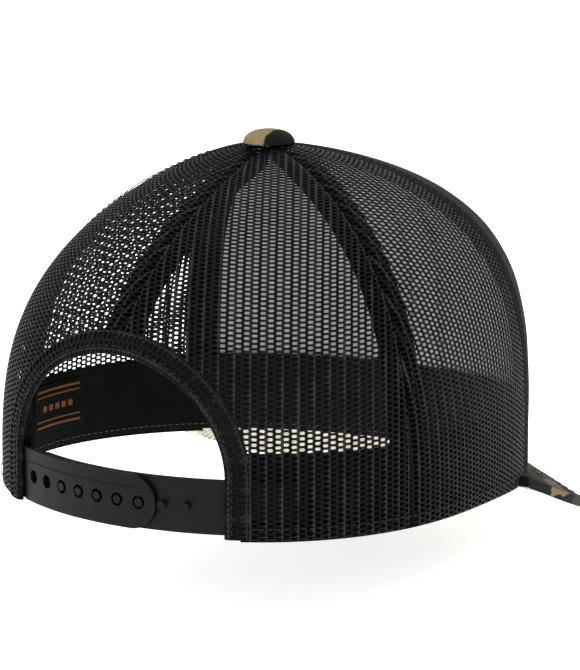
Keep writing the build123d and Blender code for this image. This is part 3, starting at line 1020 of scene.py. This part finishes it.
def label_strip(name, count, start, span, height, half):
    """Orange-brown strip on the label; start and span are shares of the label's length."""

    def place(t, across, depth):
        return label_point(start + span * t, height + across, depth)

    section = rounded(-half, half, 0.45, 0.85, 0.0, 2)
    strip = sweep(name, count, section, place, ORANGE_THREAD)


def woven_label():
    """Blank woven label: black twill ground, orange-brown lines and plain woven blocks."""

    def point(u, v, w):
        bow = 0.1 * np.sin(np.pi * u) * np.sin(np.pi * v)
        return label_point(u, LABEL_LOW + LABEL_HEIGHT * v, 0.5 * w + bow * w)

    label = slab("woven_label_cloth", point, 30, 24, BAND)
    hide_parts("woven_label")
    for number, (height, half) in enumerate(LABEL_LINES):
        label_strip(f"label_line_{number}", 24, 0.06, 0.88, height, half)
    for number in range(LABEL_BLOCKS):
        start = 0.2 + 0.13 * number
        label_strip(f"label_block_{number}", 8, start, 0.08, LABEL_BLOCK_HEIGHT, 1.3)


sweatband()
woven_label()


# ======== button
def button_cover():
    """Twill pulled over the button, with faint pleats towards its rim."""
    steps, around = 26, 72
    turn = np.linspace(0, 2 * np.pi, around, endpoint=False)
    climb = np.linspace(-0.16, np.pi / 2, steps)
    dome = np.clip(climb, 0, None)
    ring = np.where(climb < 0, BUTTON_RADIUS + climb * 12.0, BUTTON_RADIUS * np.cos(dome) ** 0.8)
    height = np.where(climb < 0, climb * 1.5, BUTTON_RISE * np.sin(dome))
    pleat = 1 - 0.008 * np.cos(BUTTON_PLEATS * turn)[None, :] * (np.cos(dome) ** 6)[:, None]
    x = ring[:, None] * np.cos(turn)[None, :] * pleat
    y = ring[:, None] * np.sin(turn)[None, :] * pleat
    z = np.broadcast_to(height[:, None], x.shape)
    centre = SHIFT + np.array([0, TOP_BACK_SHIFT, BUTTON_SEAT])
    points = np.stack([x, y, z], -1).reshape(-1, 3) + centre
    faces = grid_faces(steps, around, wrap=True)
    cover = make_object("button_cover_cloth", points, faces, BUTTON_CAMO)
    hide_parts("button_cover")


button_cover()


# ======== visor
def visor_point(u, t, depth):
    """Visor surface: u from the wearer's right to the left, t from the crown to the edge."""
    share = 1 - np.abs(2 * u - 1)
    side = np.where(u < 0.5, -1.0, 1.0)
    phi = VISOR_START + (SEAM_FRONT - VISOR_START) * share
    raised = np.array([0, 0, VISOR_ROOT_RISE])
    root = outer(phi, np.zeros_like(phi)) + raised
    corner = outer(VISOR_START, 0.0) + raised
    swing = share ** VISOR_SPREAD * np.pi / 2
    reach = np.sin(swing) ** (2 / VISOR_ROUNDNESS)
    width = (corner[0] - VISOR_SIDE_INSET) * np.maximum(np.cos(swing), 0) ** (2 / VISOR_ROUNDNESS)
    drop = (corner[2] - SHIFT[2] + VISOR_DROP) * (1 - (1 - reach) ** VISOR_CURVE)
    edge = np.stack([width, corner[1] - VISOR_LENGTH * reach, corner[2] - drop], -1)
    length = np.linalg.norm(edge - root, axis=-1)
    gap = VISOR_GAP / length
    spot = root + (edge - root) * (gap + (1 - gap) * t)[..., None]
    return np.stack([-side * spot[..., 0], spot[..., 1], spot[..., 2] - depth], -1)


def visor_top(u, v, quilt):
    """Camouflage cover, rolled round the visor's edge and a little way under it."""
    count_u = len(u)
    wave = 0.05 * np.sin(u * 90) * np.sin(v * 25)
    top = visor_point(u, v, wave + quilt + 0.05)
    roll = ((1.006, 0.5), (1.011, 1.3), (1.012, 2.2), (1.010, 3.1), (1.004, 3.85),
            (0.99, VISOR_THICKNESS), (0.97, VISOR_THICKNESS))
    edge = [visor_point(u[:, -1], np.full(count_u, t), np.full(count_u, depth)) for t, depth in roll]
    sheet = np.concatenate([top, np.stack(edge, 1)], 1)
    faces = grid_faces(count_u, sheet.shape[1])
    cover = make_object("visor_top_cloth", sheet.reshape(-1, 3), faces, VISOR_CAMO)
    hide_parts("visor_top_cover")


def visor_end(end, tag):
    """Bulged cap that closes one rear end of the visor; end is its u, 0 or 1."""
    t, share = np.meshgrid(np.linspace(-0.6, 1.01, 12), np.linspace(0, 1, 8), indexing="ij")
    cap = visor_point(np.full(t.shape, end), t, 4.1 * share)
    cap[..., 0] += (2 * end - 1) * 0.5 * np.sin(np.pi * share)
    end_cap = make_object(f"visor_end_{tag}", cap.reshape(-1, 3), grid_faces(12, 8), VISOR_CAMO)


def visor_under(u, v, quilt):
    """Khaki cover beneath, ending short of the edge."""
    under = visor_point(0.012 + 0.976 * u, v * 0.985, 4.0 + quilt * 0.7)
    faces = grid_faces(*u.shape)[:, ::-1]
    lining = make_object("visor_under_cloth", under.reshape(-1, 3), faces, KHAKI)
    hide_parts("visor_under_cover")


def visor_stitches(row, tag, depth, upwards, thread):
    """One row of stitching along the visor, above or beneath."""
    line = np.linspace(0.03, 0.97, 220)
    t = np.full(220, VISOR_FIRST_ROW - VISOR_ROW_PITCH * row)
    points = visor_point(line, t, np.full(220, depth))
    normals = np.tile([0.0, 0.0, upwards], (220, 1))
    stitches = stitch_row(f"visor_{tag}_stitch_{row}", points, normals, thread, radius=0.2)


def visor_cloth():
    """Both covers, the end caps and the rows of stitching."""
    u, v = np.meshgrid(np.linspace(0, 1, 160), np.linspace(0, 1, 40), indexing="ij")
    ridges = np.cos(v * 2 * np.pi * VISOR_STITCH_ROWS)
    quilt = 0.12 * ridges * np.sin(np.pi * u) * smooth(0, 0.06, v)
    visor_top(u, v, quilt)
    visor_end(0.0, "right")
    visor_end(1.0, "left")
    visor_under(u, v, quilt)
    for row in range(VISOR_STITCH_ROWS):
        visor_stitches(row, "top", 0.0, 1.0, DARK_THREAD)
        visor_stitches(row, "under", VISOR_THICKNESS, -1.0, KHAKI_THREAD)


visor_cloth()

# ======== hard CAD pieces
HARD_LOOKS = {
    "button_core": STEEL, "button_washer": STEEL, "visor_board": BOARD,
    "hole_strap": PLASTIC, "hole_strap_tab": PLASTIC, "peg_strap": PLASTIC, "peg_strap_tab": PLASTIC,
}
for node, material in HARD_LOOKS.items():
    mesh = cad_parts[node].data
    mesh.materials.clear()
    mesh.materials.append(material)
    mesh.polygons.foreach_set("use_smooth", [True] * len(mesh.polygons))
    mesh.set_sharp_from_angle(angle=math.radians(28))

# ======== studio
AZIMUTH = math.radians(214.52)
ELEVATION = math.radians(11.78)
DISTANCE = 1021.0
AIM_HEIGHT = 55.0
SENSOR = 36.0
LENS = 148.218
LENS_SHIFT_X = 0.0074627
LENS_SHIFT_Y = -0.009403


def make_camera():
    """Camera without roll, behind the wearer's right shoulder and a little above."""
    data = bpy.data.cameras.new("camera")
    camera = bpy.data.objects.new("camera", data)
    bpy.context.scene.collection.objects.link(camera)
    back = Vector((math.sin(AZIMUTH) * math.cos(ELEVATION),
                   -math.cos(AZIMUTH) * math.cos(ELEVATION), math.sin(ELEVATION)))
    target = Vector((SHIFT + np.array([0, 0, AIM_HEIGHT])) * MM)
    camera.location = target + back * DISTANCE * MM
    camera.rotation_euler = (-back).to_track_quat("-Z", "Y").to_euler()
    data.sensor_fit = "AUTO"
    data.sensor_width = SENSOR
    data.lens = LENS
    data.shift_x = LENS_SHIFT_X
    data.shift_y = LENS_SHIFT_Y
    data.clip_end = 20
    bpy.context.scene.camera = camera


def area_light(name, location, size, power):
    """Soft square light aimed at the cap."""
    data = bpy.data.lights.new(name, "AREA")
    data.shape = "SQUARE"
    data.size = size
    data.energy = power
    light = bpy.data.objects.new(name, data)
    light.location = location
    aim = Vector((0, 0, 0.09)) - Vector(location)
    light.rotation_euler = aim.to_track_quat("-Z", "Y").to_euler()
    bpy.context.scene.collection.objects.link(light)


def make_studio():
    """White floor and even light from all round."""
    bpy.ops.mesh.primitive_plane_add(size=30, location=(0, 0, -0.0005))
    floor = bpy.context.object
    floor.name = "floor"
    material, _, _, shader = new_material("floor_white", grey(0.95), 0.9, 0.0)
    shader.inputs["Emission Color"].default_value = (1, 1, 1, 1)
    shader.inputs["Emission Strength"].default_value = 0.5
    floor.data.materials.append(material)
    world = bpy.data.worlds.new("world")
    bpy.context.scene.world = world
    world.use_nodes = True
    sky = world.node_tree.nodes["Background"]
    sky.inputs["Color"].default_value = (1, 1, 1, 1)
    sky.inputs["Strength"].default_value = 1.3
    area_light("key", (-1.6, 1.2, 1.5), 1.2, 16)
    area_light("fill", (1.3, 1.6, 0.9), 1.4, 8)
    area_light("front", (0.3, -1.6, 1.4), 1.4, 8)


make_camera()
make_studio()
bpy.context.scene.view_settings.view_transform = "Standard"
